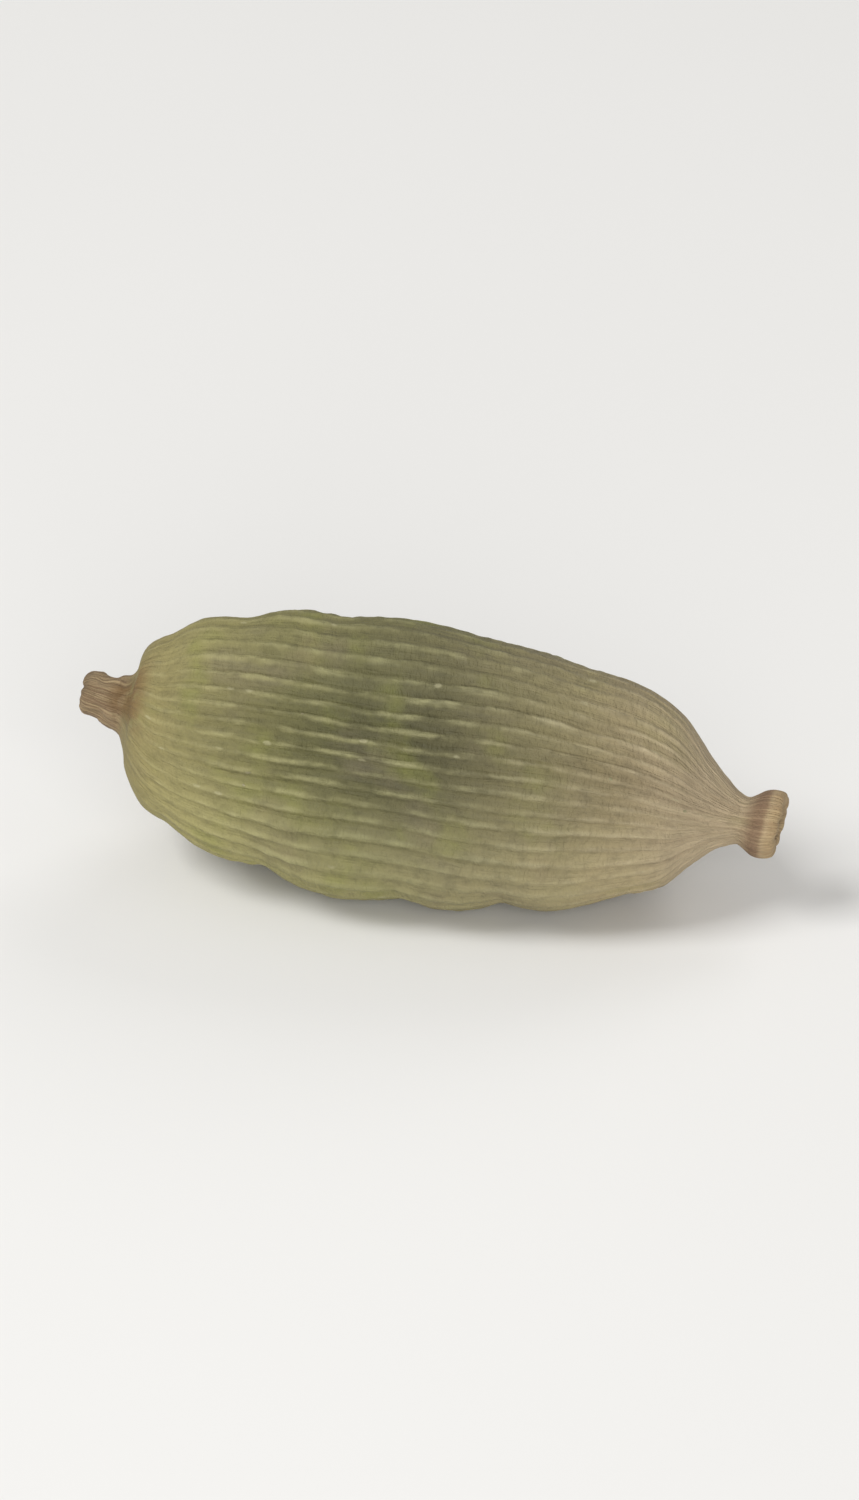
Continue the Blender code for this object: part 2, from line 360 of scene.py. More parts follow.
# %% The middle line
BOW = 0.18 * MM
BOW_ANGLE = 60.0
STALK_BEND = 8.0
STALK_SHIFT = 0.55 * MM
STALK_SHIFT_ANGLE = 115.0
STALK_SHIFT_LENGTH = 1.3 * MM
BEAK_DROOP = 0.51 * MM
BEAK_DROOP_FADE = (18.20 * MM, 22.00 * MM)


def centre_line(along):
    """(y, z) of the pod's middle: a parabola for the bow, plus a straight bend at the stalk,
    less a soft droop at the beak, and the stalk's shift to one side."""
    half = 0.5 * HUSK_LENGTH
    bow = BOW * ((along - STALK_LENGTH - half) / half) ** 2
    stalk = math.tan(math.radians(STALK_BEND)) * np.maximum(STALK_LENGTH - along, 0.0)
    beak = BEAK_DROOP * fade(along, BEAK_DROOP_FADE)
    rise = bow + stalk - beak
    up = math.radians(BOW_ANGLE)
    shift = STALK_SHIFT * (1.0 - fade(along, (STALK_LENGTH, STALK_LENGTH + STALK_SHIFT_LENGTH)))
    aside = math.radians(STALK_SHIFT_ANGLE)
    return (
        rise * math.cos(up) + shift * math.cos(aside),
        rise * math.sin(up) + shift * math.sin(aside),
    )


print("middle of the cut end in mm:", np.round(np.array(centre_line(0.0)) / MM, 2))

# %% How far each ring leans
LEAN = 0.22 * MM
LEAN_ANGLE = 240.0
LEAN_FADE = (0.25, 0.40)
STALK_TILT = 10.0
STALK_TILT_ANGLE = 119.0
STALK_TILT_LENGTH = 3.0 * MM
BEAK_TILT = 6.0
BEAK_TILT_ANGLE = 60.0
BEAK_TILT_LENGTH = 3.6 * MM


def towards(angle, degrees):
    """The cosine of the angle off a direction: 1 towards it and -1 on the far side."""
    return np.cos(angle - math.radians(degrees))


def lean_share(angle, along, girth):
    """A point's shift along the pod as a share of its reach: a lean of the whole belly plus
    a tilt at each end, each times the cosine of the angle off its own direction."""
    belly = LEAN / BELLY_RADIUS * fade(girth, LEAN_FADE) * towards(angle, LEAN_ANGLE)
    near_stalk = 1.0 - fade(along, (STALK_LENGTH, STALK_LENGTH + STALK_TILT_LENGTH))
    near_beak = fade(along, (NECK - BEAK_TILT_LENGTH, NECK))
    stalk = math.radians(STALK_TILT) * near_stalk * towards(angle, STALK_TILT_ANGLE)
    beak = math.radians(BEAK_TILT) * near_beak * towards(angle, BEAK_TILT_ANGLE)
    return belly + stalk + beak


print("belly's lean in degrees:", round(math.degrees(LEAN / BELLY_RADIUS), 1))

# %% [markdown]
# ## Wrinkles, the torn stalk and the papery rim
# Drying shrinks the soft tissue between the fibres, which leaves fine cross wrinkles and
# shallow dents. The stub is a bundle of tough strands that was snapped off, and the beak's rim
# is thin and uneven. Each is under a tenth of a millimetre, too fine for the solid.

# %% Which part of the pod a point is on
STALK_END = (0.80, 1.12)
CUT_END = (0.10, 0.35)
BEAK_START = (-0.10, 0.40)
RIM_START = (0.45, 0.85)
TUBE_EDGE = (0.42, 0.60)


def part_fade(value, start, length, limits):
    """A soft step whose limits are shares of a part's length, counted from its start."""
    return fade(value, (start + limits[0] * length, start + limits[1] * length))


def end_masks(along, radius, inner):
    """Shares of 0 to 1 that pick out the stub, the beak, its rim and the tube inside it."""
    stalk = 1.0 - part_fade(along, 0.0, STALK_LENGTH, STALK_END)
    beak = part_fade(along, NECK, BEAK_LENGTH, BEAK_START)
    rim = part_fade(along, NECK, BEAK_LENGTH, RIM_START)
    tube = inner * (1.0 - part_fade(radius, 0.0, BEAK_RADIUS, TUBE_EDGE))
    return stalk, beak, rim * (1.0 - tube), tube


print("the beak begins at mm:", round((NECK + BEAK_START[0] * BEAK_LENGTH) / MM, 2))

# %% Relief of the fine forms
DENT = 0.024 * MM
DENT_WAVES = ((1, 6), (3.5 * MM, 9.0 * MM), 22, 31)
DENT_FADE = (0.25, 0.75)
WRINKLE = 0.015 * MM
WRINKLE_WAVES = ((2, 34), (0.42 * MM, 0.95 * MM), 48, 33)
WRINKLE_AT_LEAST = 0.35
WRINKLED_PATCHES = ((1, 4), (3.0 * MM, 9.0 * MM), 12, 32)
STRAND = 0.032 * MM
STRAND_WAVES = ((7, 26), (1.2 * MM, 6.0 * MM), 22, 34)
KNOB = 0.060 * MM
KNOB_WAVES = ((1, 5), (0.7 * MM, 1.8 * MM), 12, 35)
FLUTE = 0.016 * MM
FLUTE_WAVES = ((9, 17), (3.0 * MM, 9.0 * MM), 12, 36)


def fine_relief(turn, along, girth, masks):
    """Height of the fine forms, each its size times its ripple: dents and wrinkles in patches
    on the husk, strands and a knob on the stub, and flutes out to the beak's rim."""
    stalk, beak, rim, tube = masks
    dents = DENT * ripple(turn, along, DENT_WAVES) * fade(girth, DENT_FADE)
    patch = 0.5 + 0.5 * ripple(turn, along, WRINKLED_PATCHES)
    folds = WRINKLE * ripple(turn, along, WRINKLE_WAVES)
    folds = folds * (WRINKLE_AT_LEAST + (1.0 - WRINKLE_AT_LEAST) * patch)
    strands = STRAND * ripple(turn, along, STRAND_WAVES) + KNOB * ripple(turn, along, KNOB_WAVES)
    flutes = FLUTE * ripple(turn, along, FLUTE_WAVES)
    return (1.0 - stalk) * (1.0 - beak) * (dents + folds) + stalk * strands + beak * flutes


print("fine relief on the husk in mm, at most:", round((DENT + WRINKLE) / MM, 3))

# %% The uneven edge of the rim and of the cut
RIM_RAG = 0.034 * MM
RIM_WAVES = ((2, 11), (1.0, 2.0), 9, 37)
TORN = 0.070 * MM
TORN_WAVES = ((1, 9), (0.4 * MM, 1.2 * MM), 16, 38)


def end_shift(turn, along, radius, rim):
    """Shift along the pod: a ripple round the rim, and one over the cut face that grows with
    the distance from its middle."""
    ragged = RIM_RAG * ripple(turn, 0.0 * along, RIM_WAVES)
    torn = TORN * ripple(turn, radius, TORN_WAVES) * np.minimum(radius / STALK_RADIUS, 1.0)
    return rim * ragged + (1.0 - part_fade(along, 0.0, STALK_LENGTH, CUT_END)) * torn


print("the cut is uneven by mm:", round(TORN / MM, 3))

# %% [markdown]
# ## The whole skin
# All forms meet in one formula: the section sets the radius, the relief is added, and the
# leans shift the point along the pod. The skin also keeps where each point is, as shares and
# as a straightened place, because the colours follow the ribs and the parts of the pod.

# %% The skin as a function of rib number and ring
RIB_HEIGHT = 0.11 * MM
RIB_MEAN = 0.40
TUBE_FADE = (0.80, 1.00)
# How pale the rows of lobes are painted, partly their own colour and partly painted light: the top row
# less than the lower and back ones.
PALE_SPREAD = 48.0
PALE_AND_PAINTED_LIGHT_SHARES = (0.45, 1.0, 0.8)


def corner_paleness_and_painted_light(nearness, girth):
    """How pale a corner is, partly its own colour and partly painted light: its row's share times
    exp(-(degrees off / wider spread)^2), the largest of the three, faded in from the slender
    ends."""
    wide = nearness ** ((LOBE_SPREAD / PALE_SPREAD) ** 2)
    return (np.array(PALE_AND_PAINTED_LIGHT_SHARES)[:, None, None] * wide).max(axis=0) * fade(girth, LOBE_FADE)


def pod_surface(rib, rings, inner):
    """Points of the skin, their shares and straightened places. From the middle a point lies
    at radius * section + ribs + lobes + fine forms, and its ring's lean and the uneven ends
    shift it along the pod."""
    along, radius, inner = rings[:, :1], rings[:, 1:], inner[:, None]
    rib = rib[None, :]
    turn = TURN * rib / RIBS
    girth = radius / BELLY_RADIUS
    angle = rib_angle(rib, along)
    nearness = lobe_nearness(angle)
    room, minor = rib_room(rib, along, girth, nearness)
    crest = rib_crest(rib, along) * minor
    stalk, beak, rim, tube = masks = end_masks(along, radius, inner)
    relief = RIB_HEIGHT * room * (crest - RIB_MEAN) + seed_relief(along, girth, nearness)
    relief = relief + fine_relief(turn, along, girth, masks)
    reach = radius * section(angle, girth) + relief * fade(radius / NECK_RADIUS, TUBE_FADE)
    lean = lean_share(angle, along, girth) * reach
    side, rise = centre_line(along)
    x = along + lean + end_shift(turn, along, radius, rim)
    points = np.stack([x, side + reach * np.cos(angle), rise + reach * np.sin(angle)], axis=-1)
    shares = {
        "along": along / RIM, "rib_crest": crest, "rib_room": room,
        "corner": corner_paleness_and_painted_light(nearness, girth),
        "stalk": stalk, "beak": beak, "rim": rim, "tube": tube,
    }
    shares = {name: values + np.zeros_like(angle) for name, values in shares.items()}
    straight = (along, BELLY_RADIUS * np.cos(turn), BELLY_RADIUS * np.sin(turn))
    return points, shares, np.stack(np.broadcast_arrays(*straight), axis=-1)


print("rib height in mm:", round(RIB_HEIGHT / MM, 3))

# %% [markdown]
# ## Laying the pod down
# The pod tips a little towards its beak and rests on a small flattened spot. The solid in the
# frame already lies like that, so the skin is shifted until its box has the same middle and
# the same top, and whatever then reaches below the floor is pressed flat, with a soft edge.

# %% Tip, shift and press
PITCH = 2.5
PRESS_SOFTNESS = 0.05 * MM


def lay_down(points):
    """Turns the pod by its pitch, fits it into the solid's box and presses its underside: a
    height h becomes (h + sqrt(h^2 + softness^2)) / 2, less what that leaves at the bottom."""
    tip = math.radians(PITCH)
    x = points[..., 0] * math.cos(tip) + points[..., 2] * math.sin(tip)
    y = points[..., 1]
    z = points[..., 2] * math.cos(tip) - points[..., 0] * math.sin(tip)
    middle = 0.5 * (cad_low + cad_high)
    x = x - 0.5 * (x.min() + x.max()) + middle[0]
    y = y - 0.5 * (y.min() + y.max()) + middle[1]
    z = z - z.max() + cad_high[2]
    pressed = 0.5 * (z + np.sqrt(z**2 + PRESS_SOFTNESS**2))
    return np.stack([x, y, pressed - pressed.min()], axis=-1)


print("the pod tips by degrees:", PITCH)

# %% [markdown]
# ## From a grid to a closed mesh
# A grid of rings becomes four-sided faces between neighbours, with a fan of triangles over its
# first ring, the cut end, and its last one, the floor of the tube. Whole arrays of indices are
# built at once, and the flakes later on are closed in the same way.

# %% Faces of a grid of rings
def ring_faces(count, around):
    """Vertex number = ring * around + place. A face joins place and place + 1 of one ring
    with those of the next, in the order that turns it outward. Each end ring is joined to a
    hub, and the two hubs follow the rings."""
    place_number = np.arange(around)
    beside = (place_number + 1) % around
    row = np.arange(count - 1)[:, None] * around
    next_row = row + around
    quads = [row + place_number, row + beside, next_row + beside, next_row + place_number]
    first, last = count * around, count * around + 1
    end = (count - 1) * around
    fans = [
        np.column_stack([beside, place_number, np.full(around, first)]),
        np.column_stack([end + place_number, end + beside, np.full(around, last)]),
    ]
    return np.stack(quads, axis=-1).reshape(-1, 4).tolist() + np.vstack(fans).tolist()


print("faces of three rings of four:", len(ring_faces(3, 4)))

# %% Points, faces and values become a piece
def with_hubs(values):
    """The rows of a grid in one list, followed by the means of its first and its last ring."""
    flat = values.reshape(values.shape[0] * values.shape[1], -1)
    return np.vstack([flat, values[0].mean(axis=0), values[-1].mean(axis=0)])


def keep_values(mesh, name, kind, field, values):
    """Stores one value, or one place, for each point of a mesh."""
    attribute = mesh.attributes.new(name, kind, "POINT")
    attribute.data.foreach_set(field, with_hubs(values).ravel().astype(np.float32))


def new_piece(name, points, faces):
    """A smoothly shaded mesh in the scene, as an object at the origin."""
    mesh = bpy.data.meshes.new(name)
    mesh.from_pydata(points, [], faces)
    mesh.update()
    mesh.shade_smooth()
    piece = bpy.data.objects.new(name, mesh)
    bpy.context.scene.collection.objects.link(piece)
    return piece


print("points of three rings of four, with hubs:", len(with_hubs(np.zeros((3, 4, 3)))))

# %% The skin of the pod
RINGS = 254
POINTS_PER_RIB = 8

rib_numbers = np.arange(RIBS * POINTS_PER_RIB) / POINTS_PER_RIB
rings = place_rings(smooth_path(pod_outline()), RINGS)
inner_rings = (np.arange(RINGS) > rings[:, 0].argmax()).astype(float)
surface, skin_shares, straight_places = pod_surface(rib_numbers, rings, inner_rings)
skin_points = lay_down(surface)
pod_skin = new_piece("pod_skin", with_hubs(skin_points), ring_faces(*skin_points.shape[:2]))
for share, values in skin_shares.items():
    keep_values(pod_skin.data, share, "FLOAT", "value", values)
keep_values(pod_skin.data, "straight", "FLOAT_VECTOR", "vector", straight_places)
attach(pod_skin, "root")
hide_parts("pod")
print("skin triangles:", sum(len(face.vertices) - 2 for face in pod_skin.data.polygons))
print("skin in mm:", np.round(np.ptp(skin_points.reshape(-1, 3), axis=0) / MM, 2))

# %% [markdown]
# ## Nodes in plain words
# A material is a small network. Writing each link by hand hides the idea, so a few helpers
# place a node, mix colours, remap or multiply values, and read the skin's shares.

# %% Placing, mixing and remapping
MIX_SHARE, MIX_FIRST, MIX_SECOND, MIX_RESULT = 0, 6, 7, 2


def feed(tree, node, inputs):
    """Links each input to a socket or sets it to a value. inputs goes by name or number."""
    for name, value in inputs.items():
        if isinstance(value, bpy.types.NodeSocket):
            tree.links.new(value, node.inputs[name])
        else:
            node.inputs[name].default_value = value


def place(tree, kind, inputs, **settings):
    """Adds a shader node with its settings and feeds its inputs."""
    made = tree.nodes.new("ShaderNode" + kind)
    for name, value in settings.items():
        setattr(made, name, value)
    feed(tree, made, inputs)
    return made


def mix(tree, share, first, second, blend="MIX"):
    """A colour that goes from first to second as share goes from 0 to 1."""
    inputs = {MIX_SHARE: share, MIX_FIRST: first, MIX_SECOND: second}
    return place(tree, "Mix", inputs, data_type="RGBA", blend_type=blend).outputs[MIX_RESULT]


def remap(tree, value, limits, results=(0.0, 1.0)):
    """A value's stretch between two limits, as a value between two results, held at both."""
    low, high = limits
    to_low, to_high = results
    inputs = {"Value": value, "From Min": low, "From Max": high, "To Min": to_low, "To Max": to_high}
    return place(tree, "MapRange", inputs, interpolation_type="SMOOTHSTEP").outputs["Result"]


print("sockets of a mix:", MIX_SHARE, MIX_FIRST, MIX_SECOND, "result:", MIX_RESULT)

# %% Arithmetic, shares and places
def sums(tree, operation, first, second):
    """One step of arithmetic on two values."""
    return place(tree, "Math", {0: first, 1: second}, operation=operation).outputs[0]


def product(tree, first, *others):
    """All values multiplied, one step at a time."""
    for other in others:
        first = sums(tree, "MULTIPLY", first, other)
    return first


def share_of(tree, name):
    """The value of one of the piece's own shares at this point."""
    return place(tree, "Attribute", {}, attribute_name=name).outputs["Fac"]


def object_place(tree):
    """The point's place in the object, in metres."""
    return place(tree, "TexCoord", {}).outputs["Object"]


def scaled(tree, vector, factors):
    """A place with each of its three numbers multiplied by its own factor."""
    return place(tree, "VectorMath", {0: vector, 1: factors}, operation="MULTIPLY").outputs[0]


print("shares to read:", sorted(skin_shares))

# %% Colours as a picture shows them
def colour(red, green, blue):
    """A colour as a picture shows it, 0 to 255, turned into the light that it stands for."""
    picture = np.array([red, green, blue]) / 255.0
    light = np.where(picture <= 0.04045, picture / 12.92, ((picture + 0.055) / 1.055) ** 2.4)
    return (*light.tolist(), 1.0)


def ramp(tree, value, stops):
    """A colour read off a row of stops, each a place from 0 to 1 and a colour."""
    made = place(tree, "ValToRGB", {"Fac": value})
    band = made.color_ramp
    band.interpolation = "B_SPLINE"
    while len(band.elements) < len(stops):
        band.elements.new(0.5)
    for element, (where, shade) in zip(band.elements, stops):
        element.position = where
        element.color = shade
    return made.outputs["Color"]


print("middle grey as light:", round(colour(128, 128, 128)[0], 3))

# %% [markdown]
# ## Effects as groups
# Dry plant tissue shows the same things everywhere: fine fibres along the growth, blotches
# where it aged unevenly, and specks. Each is built once as a group. Fibres and blotches are in
# the finishes of both pieces, and the specks come twice on the husk, each with its own sizes.

# %% Making and using a group
def new_group(name, inputs, outputs):
    """An empty group that takes a vector and numbers and gives numbers."""
    group = bpy.data.node_groups.new(name, "ShaderNodeTree")
    group.interface.new_socket("Vector", in_out="INPUT", socket_type="NodeSocketVector")
    for title in inputs:
        group.interface.new_socket(title, in_out="INPUT", socket_type="NodeSocketFloat")
    for title in outputs:
        group.interface.new_socket(title, in_out="OUTPUT", socket_type="NodeSocketFloat")
    return group, group.nodes.new("NodeGroupInput"), group.nodes.new("NodeGroupOutput")


def effect(tree, group, vector, **values):
    """Places a group on a vector with this material's own values and gives its outputs."""
    made = place(tree, "Group", {}, node_tree=group)
    feed(tree, made, {"Vector": vector, **values})
    return made.outputs


def long_noise(tree, vector, scale, longer, detail):
    """Noise whose spots are longer along the first axis by the given factor."""
    drawn = scaled(tree, vector, (1.0 / longer, 1.0, 1.0))
    inputs = {"Vector": drawn, "Scale": scale, "Detail": detail, "Roughness": 0.55}
    return place(tree, "TexNoise", inputs).outputs["Fac"]


print("groups so far:", len(bpy.data.node_groups))

# %% Fibres
FIBRE_LONGER = 12.0
FIBRE_SPAN = (0.32, 0.68)
MARK_LONGER = 0.45
MARK_SPAN = (0.35, 0.65)


def fibre_group():
    """Long fibres with short cross marks: noise drawn out along the ribs, plus finer noise
    drawn out across them. Width is the size of a fibre, and Marks the share of the marks."""
    group, given, result = new_group("fibres", ("Width", "Marks"), ("Fibres", "Height"))
    vector = given.outputs["Vector"]
    scale = sums(group, "DIVIDE", 0.5, given.outputs["Width"])
    mark_scale = product(group, scale, 0.8)
    fibres = remap(group, long_noise(group, vector, scale, FIBRE_LONGER, 3.0), FIBRE_SPAN)
    marks = remap(group, long_noise(group, vector, mark_scale, MARK_LONGER, 2.0), MARK_SPAN)
    height = sums(group, "ADD", fibres, product(group, marks, given.outputs["Marks"]))
    feed(group, result, {"Fibres": fibres, "Height": height})
    return group


FIBRES = fibre_group()
print("group:", FIBRES.name)

# %% Blotches and specks
BLOTCH_EDGES = (0.75, 0.25)
BLOTCH_SOFTNESS = (-0.09, 0.13)
SPECK_SOFTNESS = (-0.03, 0.08)


def blotch_group():
    """Soft-edged blotches: noise above an edge that sinks as the cover grows. Size is about
    how wide one is, and Cover the share they take."""
    group, given, result = new_group("blotches", ("Size", "Cover"), ("Blotches",))
    scale = sums(group, "DIVIDE", 0.7, given.outputs["Size"])
    noise = place(group, "TexNoise", {"Vector": given.outputs["Vector"], "Scale": scale, "Detail": 4.0})
    edge = remap(group, given.outputs["Cover"], (0.0, 1.0), BLOTCH_EDGES)
    above = sums(group, "SUBTRACT", noise.outputs["Fac"], edge)
    feed(group, result, {"Blotches": remap(group, above, BLOTCH_SOFTNESS)})
    return group


def speck_group():
    """Scattered specks: a spot round the middle of some cells. Spacing is the size of a cell,
    Size that of a speck in it, and Share how many of the cells have one."""
    group, given, result = new_group("specks", ("Spacing", "Size", "Share"), ("Specks",))
    scale = sums(group, "DIVIDE", 1.0, given.outputs["Spacing"])
    cells = place(group, "TexVoronoi", {"Vector": given.outputs["Vector"], "Scale": scale})
    reach = sums(group, "DIVIDE", given.outputs["Size"], given.outputs["Spacing"])
    inside = sums(group, "SUBTRACT", reach, cells.outputs["Distance"])
    parted = place(group, "SeparateColor", {"Color": cells.outputs["Color"]})
    chosen = sums(group, "LESS_THAN", parted.outputs["Red"], given.outputs["Share"])
    spot = remap(group, inside, SPECK_SOFTNESS)
    feed(group, result, {"Specks": product(group, spot, chosen)})
    return group


BLOTCHES, SPECKS = blotch_group(), speck_group()
print("groups:", BLOTCHES.name, SPECKS.name)

# %% [markdown]
# ## The husk's colours
# Along the middle of the husk the green has greyed and is also darkened by painted shade. It is
# darkest in the valleys, partly its own colour and partly painted shade in the creases, while the
# crests are pale, partly bleached and partly painted highlight. The shoulder by the stalk is
# yellow-green and nearly smooth, the end by the beak is tan, and the lobes are lighter than the
# faces, partly their own colour and partly painted light, more on the lower rows than the top one.
# A painted picture would need seams. Here valleys, corners and crests each have a row of shades
# that is read along the pod, and the rows are mixed by the shares that the skin carries, so they
# follow the ribs.

# %% Shades of the husk, read along the pod
# Valley shades: the greyed green plus painted shade, darkest round the middle, and darker than the
# crests as painted shade in the creases.
VALLEYS_WITH_PAINTED_SHADE = (
    (0.000, colour(132, 116, 84)),
    (0.075, colour(146, 135, 88)),
    (0.170, colour(128, 121, 80)),
    (0.330, colour(88, 87, 52)),
    (0.520, colour(46, 45, 28)),
    (0.680, colour(118, 111, 77)),
    (0.800, colour(132, 119, 89)),
    (0.900, colour(187, 170, 140)),
    (1.000, colour(182, 162, 130)),
)
# Corner shades: paler than the valleys, partly the lobes' own colour and partly painted light.
CORNERS_WITH_PAINTED_LIGHT = (
    (0.000, colour(150, 138, 96)),
    (0.120, colour(166, 158, 104)),
    (0.350, colour(150, 145, 99)),
    (0.600, colour(149, 141, 103)),
    (0.820, colour(160, 148, 111)),
    (1.000, colour(180, 162, 128)),
)
# Crest shades: pale, partly bleached and partly painted highlight, and dimmer round the middle as
# painted shade over the greyed green.
CRESTS_WITH_PAINTED_LIGHT_AND_SHADE = (
    (0.000, colour(160, 146, 112)),
    (0.120, colour(172, 164, 116)),
    (0.350, colour(142, 139, 98)),
    (0.600, colour(138, 135, 98)),
    (0.820, colour(180, 166, 136)),
    (1.000, colour(198, 180, 148)),
)
CORNER_STRENGTH = 0.85
print("stops:", len(VALLEYS_WITH_PAINTED_SHADE), len(CORNERS_WITH_PAINTED_LIGHT), len(CRESTS_WITH_PAINTED_LIGHT_AND_SHADE))

# %% Patches of moss green, grey and tan, by shade, size, cover and strength
MOSS = (colour(128, 130, 66), 1.6 * MM, 0.36, 0.50)
GREYED = (colour(112, 103, 84), 2.1 * MM, 0.34, 0.45)
TAN = (colour(164, 144, 110), 3.4 * MM, 0.28, 0.40)
MIDDLE_FADE = (0.55, 0.85)
MIDDLE_SHARES = (1.0, 0.35)


def patched(tree, shade, vector, patches, share=1.0):
    """The shade with blotches of another one, mixed in by blotches * strength * share."""
    patch_shade, size, cover, strength = patches
    blotches = effect(tree, BLOTCHES, vector, Size=size, Cover=cover)["Blotches"]
    return mix(tree, product(tree, blotches, strength, share), shade, patch_shade)


def husk_patches(tree, shade, along, straight, solid):
    """Moss green and grey patches, fewer towards the beak, and tan ones all over."""
    middle = remap(tree, along, MIDDLE_FADE, MIDDLE_SHARES)
    shade = patched(tree, shade, straight, MOSS, middle)
    shade = patched(tree, shade, solid, GREYED, middle)
    return patched(tree, shade, solid, TAN)


print("moss as light:", np.round(MOSS[0][:3], 3))

# %% Pale lines along the crests. A noise is given by scale, stretch and detail
WEAR_NOISE = (7000.0, 1.8, 3.0)
WEAR_SPAN = (0.20, 0.80)
CREST_WEAR = (-0.12, 0.12)
CREST_SPAN = (0.06, 1.05)
DASH_NOISE = (2400.0, 2.6, 2.0)
DASH_SPAN = (0.36, 0.64)
DASH_SHARES = (0.15, 1.10)
ROOM_SPAN = (0.25, 0.95)
LINE_STRENGTHS = (0.32, 0.68)
STRONG_CREST = (1.15, 1.75)
STRONG_LINE = (0.0, 0.35)


def crest_lines_with_painted_highlight(tree, straight):
    """How much of the crest's shade shows, a pale line that is partly bleached and partly
    painted highlight: the crest's height, worn by fine noise, times dashes, times a strength
    that grows with the rib's room and on the strong ribs."""
    crest = share_of(tree, "rib_crest")
    wear = remap(tree, long_noise(tree, straight, *WEAR_NOISE), WEAR_SPAN, CREST_WEAR)
    line = remap(tree, sums(tree, "ADD", crest, wear), CREST_SPAN)
    dashes = remap(tree, long_noise(tree, straight, *DASH_NOISE), DASH_SPAN, DASH_SHARES)
    strength = remap(tree, share_of(tree, "rib_room"), ROOM_SPAN, LINE_STRENGTHS)
    strength = sums(tree, "ADD", strength, remap(tree, crest, STRONG_CREST, STRONG_LINE))
    return product(tree, line, dashes, strength)


print("strength of a line:", LINE_STRENGTHS, "and on strong ribs more by", STRONG_LINE[1])

# %% The husk without its ends
STREAK_NOISE = (1600.0, 12.0, 3.0)
STREAK_SHADES = ((0.30, (0.72, 0.70, 0.68, 1.0)), (0.70, (1.22, 1.22, 1.24, 1.0)))
STREAK_SHARES = (0.25, 1.0)
MOTTLE_NOISE = (3600.0, 1.4, 4.0)
MOTTLE_SHADES = ((0.25, (0.70, 0.70, 0.70, 1.0)), (0.75, (1.26, 1.26, 1.28, 1.0)))
FIBRE_SHADES = ((0.0, (0.88, 0.88, 0.86, 1.0)), (1.0, (1.10, 1.10, 1.12, 1.0)))


def husk_shade(tree, along, straight, solid, fibres):
    """From valley to corner shade by the corner's share, then the patches, then the pale crest
    lines. Besides the husk's own colour, the valleys carry painted shade, the corners painted
    light and the crest lines painted highlight. That is multiplied by long streaks, mostly near
    the beak, by a fine mottle and by the fibres."""
    corner = product(tree, share_of(tree, "corner"), CORNER_STRENGTH)
    shade = mix(tree, corner, ramp(tree, along, VALLEYS_WITH_PAINTED_SHADE), ramp(tree, along, CORNERS_WITH_PAINTED_LIGHT))
    shade = husk_patches(tree, shade, along, straight, solid)
    shade = mix(tree, crest_lines_with_painted_highlight(tree, straight), shade, ramp(tree, along, CRESTS_WITH_PAINTED_LIGHT_AND_SHADE))
    streaks = long_noise(tree, straight, *STREAK_NOISE)
    streaked = mix(tree, 1.0, shade, ramp(tree, streaks, STREAK_SHADES), "MULTIPLY")
    shade = mix(tree, remap(tree, along, MIDDLE_FADE, STREAK_SHARES), shade, streaked)
    mottle = long_noise(tree, straight, *MOTTLE_NOISE)
    shade = mix(tree, 1.0, shade, ramp(tree, mottle, MOTTLE_SHADES), "MULTIPLY")
    return mix(tree, 1.0, shade, ramp(tree, fibres, FIBRE_SHADES), "MULTIPLY")


print("darkest and palest streak:", [shade[0] for where, shade in STREAK_SHADES])

# %% [markdown]
# ## The husk's two ends
# The stub is brown, with pale and dark strands, and a rusty stain spreads from its foot over
# the shoulder on one side. The beak's concave waist is darkened by painted shade, it has a pale
# streaked rim, and its tube is nearly black, its own dark brown deepened by painted shade in
# the hollow. They are laid over the husk by the shares that pick them out.

# %% The stalk and the rust at its foot
STALK_PALE = colour(162, 142, 109)
STALK_DARK = colour(118, 95, 70)
RUST = colour(118, 92, 58)
RUST_ANGLE = math.radians(140.0)
RUST_DIRECTION = (0.0, math.cos(RUST_ANGLE), math.sin(RUST_ANGLE))
RUST_REACH = (0.78 * BELLY_RADIUS, 0.98 * BELLY_RADIUS)
RUST_STRENGTH = 0.80
RUST_BLOTCHES = {"Size": 0.4 * MM, "Cover": 0.70}
FOOT_BEGINS = (0.030, 0.056)
FOOT_ENDS = (0.076, 0.106)


def stalk_shade(tree, shade, along, straight, solid, fibres):
    """Strands over the stub by its share. The rust is a band round the foot, times the dot
    product with its direction, times blotches."""
    shade = mix(tree, share_of(tree, "stalk"), shade, mix(tree, fibres, STALK_DARK, STALK_PALE))
    foot = product(tree, remap(tree, along, FOOT_BEGINS), remap(tree, along, FOOT_ENDS, (1.0, 0.0)))
    inputs = {0: straight, 1: RUST_DIRECTION}
    facing = place(tree, "VectorMath", inputs, operation="DOT_PRODUCT").outputs["Value"]
    facing = remap(tree, facing, RUST_REACH, (0.0, RUST_STRENGTH))
    rust = effect(tree, BLOTCHES, solid, **RUST_BLOTCHES)["Blotches"]
    return mix(tree, product(tree, foot, rust, facing), shade, RUST)


print("the rust faces:", np.round(RUST_DIRECTION, 2))

# %% The beak, its rim and its tube
# Painted shade in the beak's concave waist, with a darker painted shade along the fibres.
WAIST_PAINTED_SHADE = colour(130, 106, 82)
WAIST_PAINTED_SHADE_STREAK = colour(112, 84, 64)
RIM_PALE = colour(178, 155, 117)
RIM_STREAK = colour(152, 126, 91)
# The tube's own dark brown, deepened to nearly black as painted shade in the hollow.
TUBE_DARK_WITH_PAINTED_SHADE = colour(44, 30, 24)
BEAK_STRENGTH = 0.85
WAIST_END = (0.15, 0.75)


